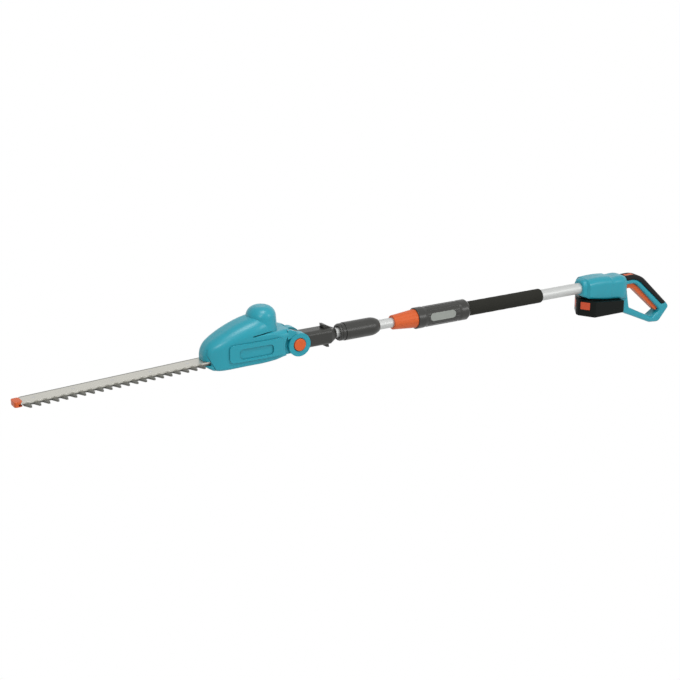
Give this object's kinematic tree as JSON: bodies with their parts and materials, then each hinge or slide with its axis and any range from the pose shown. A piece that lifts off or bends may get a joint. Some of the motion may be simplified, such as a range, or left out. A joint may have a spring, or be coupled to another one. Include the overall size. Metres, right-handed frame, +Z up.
{
  "type": "pole hedge trimmer",
  "caption": "Battery hedge trimmer on a telescopic pole: tilting cutting head with a single-sided toothed blade, twist clamp, foam grip and a loop handle with a slide-on battery.",
  "frame": {"origin": "on the pole's axis, in the middle of the bare stretch of the outer tube between the foam grip and the rear housing", "axes": "+X along the pole towards the loop handle (the blades point to -X), +Z up, -Y the left side, where the tilt button is"},
  "size_m": [1.5886, 0.0802, 0.1984],
  "materials": {
    "silver_tube": "anodised, satin",
    "foam": "closed-cell foam",
    "grey_plastic": "fine grain",
    "pale_plate": "satin, bare",
    "orange_plastic": "satin",
    "teal_plastic": "satin",
    "soft_grip": "soft overmould",
    "black_plastic": "fine grain",
    "red_plastic": "satin",
    "blade_steel": "ground",
    "plain_steel": "plain",
    "cast_aluminium": "as cast",
    "brass_contact": "plain",
    "board": "laminate",
    "cell_wrap": "shrink sleeve"
  },
  "bodies": {
    "handle_unit": {"outer_tube": "silver_tube", "foam_grip": "foam", "clamp_sleeve": "grey_plastic", "badge_plate": "pale_plate", "clamp_collet": "grey_plastic", "rear_housing_left": "teal_plastic", "rear_housing_right": "teal_plastic", "grip_pad": "soft_grip", "housing_screws": "plain_steel", "terminal_block": "brass_contact", "trigger_switch": "black_plastic", "control_board": "board", "trigger_pin": "plain_steel"},
    "clamp_nut": {"clamp_nut": "orange_plastic"},
    "inner_pole": {"inner_tube": "silver_tube", "guide_bush": "grey_plastic", "pole_socket": "grey_plastic"},
    "union_nut": {"union_nut": "grey_plastic"},
    "arm": {"arm_shell_left": "grey_plastic", "arm_shell_right": "grey_plastic", "neck_tube": "silver_tube", "arm_screws": "plain_steel", "latch_pins": "plain_steel"},
    "latch_top": {"latch_top": "grey_plastic"},
    "latch_bottom": {"latch_bottom": "grey_plastic"},
    "cutting_head": {"head_shell_left": "teal_plastic", "head_shell_right": "teal_plastic", "head_screws": "plain_steel", "pivot_pin": "plain_steel", "gearbox_base": "cast_aluminium", "gearbox_cover": "cast_aluminium", "gear_axle": "plain_steel", "bar_bolts": "plain_steel", "guide_bar": "blade_steel", "blade_rivets": "plain_steel", "tip_guard": "orange_plastic", "motor_can": "plain_steel", "motor_magnets": "plain_steel", "motor_end_bell": "black_plastic"},
    "tilt_button": {"tilt_button": "orange_plastic", "lock_core": "plain_steel"},
    "drive_gear": {"drive_gear": "plain_steel"},
    "motor_rotor": {"motor_shaft": "plain_steel", "motor_pinion": "plain_steel", "armature": "plain_steel", "commutator": "brass_contact"},
    "upper_blade": {"upper_blade": "blade_steel"},
    "lower_blade": {"lower_blade": "blade_steel"},
    "trigger": {"trigger": "orange_plastic"},
    "lock_button": {"lock_button": "orange_plastic"},
    "battery": {"battery_case_upper": "black_plastic", "battery_case_lower": "black_plastic", "battery_cells": "cell_wrap"},
    "release_left": {"battery_button_left": "red_plastic"},
    "release_right": {"battery_button_right": "red_plastic"}
  },
  "joints": [
    {"name": "clamp_nut_turn", "type": "hinge", "parent": "handle_unit", "child": "clamp_nut", "pos_m": [-0.418, 0, 0], "axis": [1, 0, 0], "range_deg": [0, 90]},
    {"name": "telescope", "type": "slide", "parent": "handle_unit", "child": "inner_pole", "axis": [-1, 0, 0], "range_m": [0, 0.5]},
    {"name": "union_nut_turn", "type": "hinge", "parent": "inner_pole", "child": "union_nut", "pos_m": [-0.57315, 0, 0], "axis": [1, 0, 0], "range_deg": [0, 90]},
    {"name": "head_plug", "type": "slide", "parent": "inner_pole", "child": "arm", "axis": [-1, 0, 0], "range_m": [0, 0.05]},
    {"name": "latch_top_press", "type": "hinge", "parent": "arm", "child": "latch_top", "pos_m": [-0.599, 0, 0.0142], "axis": [0, -1, 0], "range_deg": [0, 4.5], "stiffness_Nm_per_rad": 0.5},
    {"name": "latch_bottom_press", "type": "hinge", "parent": "arm", "child": "latch_bottom", "pos_m": [-0.6229, 0, -0.0142], "axis": [0, -1, 0], "range_deg": [0, 4.5], "stiffness_Nm_per_rad": 0.5},
    {"name": "head_tilt", "type": "hinge", "parent": "arm", "child": "cutting_head", "pos_m": [-0.685, 0, 0], "axis": [0, 1, 0], "range_deg": [-75, 60]},
    {"name": "tilt_button_press", "type": "slide", "parent": "cutting_head", "child": "tilt_button", "axis": [0, 1, 0], "range_m": [0, 0.005], "stiffness_N_per_m": 800},
    {"name": "gear_turn", "type": "hinge", "parent": "cutting_head", "child": "drive_gear", "pos_m": [-0.7938, 0, -0.003], "axis": [-0.0349, 0, 0.9994], "range_deg": [-90, 90]},
    {"name": "motor_turn", "type": "hinge", "parent": "cutting_head", "child": "motor_rotor", "pos_m": [-0.75752, 0, -0.00173], "axis": [-0.0349, 0, 0.9994], "range_deg": [-570.5, 570.5]},
    {"name": "upper_blade_stroke", "type": "slide", "parent": "cutting_head", "child": "upper_blade", "axis": [0.9994, 0, 0.0349], "range_m": [-0.0081, 0.0081]},
    {"name": "lower_blade_stroke", "type": "slide", "parent": "cutting_head", "child": "lower_blade", "axis": [0.9994, 0, 0.0349], "range_m": [-0.0081, 0.0081]},
    {"name": "trigger_pull", "type": "hinge", "parent": "handle_unit", "child": "trigger", "pos_m": [0.27, 0, -0.066], "axis": [0, 1, 0], "range_deg": [0, 3.5], "stiffness_Nm_per_rad": 6},
    {"name": "lock_button_press", "type": "slide", "parent": "handle_unit", "child": "lock_button", "axis": [0, 0, -1], "range_m": [0, 0.003], "stiffness_N_per_m": 600},
    {"name": "battery_slide", "type": "slide", "parent": "handle_unit", "child": "battery", "axis": [-1, 0, 0], "range_m": [0, 0.062]},
    {"name": "release_left_press", "type": "slide", "parent": "battery", "child": "release_left", "axis": [0.8396, 0.5433, 0], "range_m": [0, 0.0025], "stiffness_N_per_m": 600},
    {"name": "release_right_press", "type": "slide", "parent": "battery", "child": "release_right", "axis": [0.8396, -0.5433, 0], "range_m": [0, 0.0025], "stiffness_N_per_m": 600}
  ],
  "couplings": [
    {"joint": "upper_blade_stroke", "follows": "gear_turn", "m_per_rad": -0.005093},
    {"joint": "lower_blade_stroke", "follows": "gear_turn", "m_per_rad": 0.005093},
    {"joint": "motor_turn", "follows": "gear_turn", "ratio": -6.3333}
  ]
}
